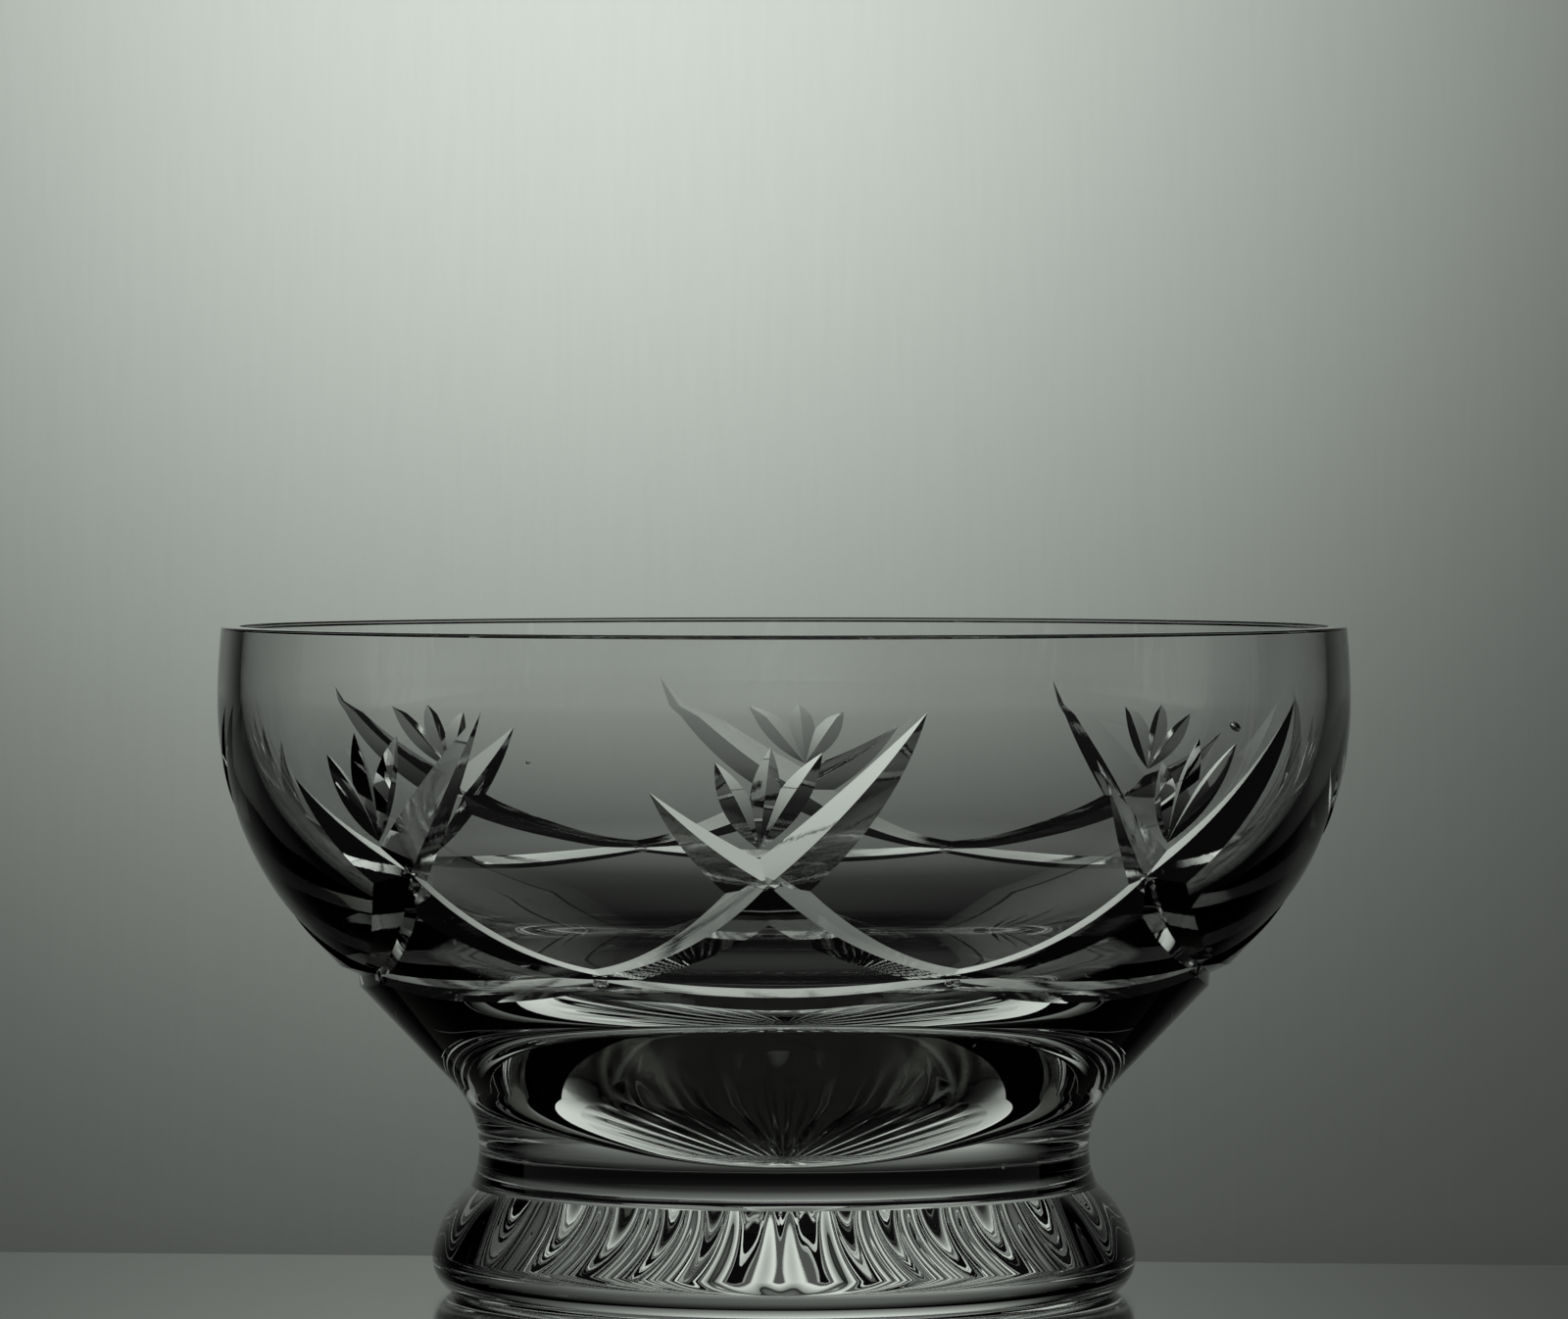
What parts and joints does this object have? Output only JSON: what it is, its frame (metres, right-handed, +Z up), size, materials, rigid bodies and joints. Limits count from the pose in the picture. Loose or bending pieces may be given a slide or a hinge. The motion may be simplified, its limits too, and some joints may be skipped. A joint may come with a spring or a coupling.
{
  "type": "footed punch bowl",
  "caption": "Round clear crystal punch bowl on a solid waisted foot, with curved mitre cuts crossing in a repeating leafy motif around the wall and a swag groove below.",
  "frame": {"origin": "centre of the foot's resting face, on the table plane", "axes": "+Z up along the bowl's axis, -Y towards the middle of one cut motif"},
  "size_m": [0.2314, 0.2314, 0.1365],
  "materials": {
    "crystal": "polished"
  },
  "bodies": {
    "root": {"bowl": "crystal", "foot": "crystal"}
  },
  "joints": []
}
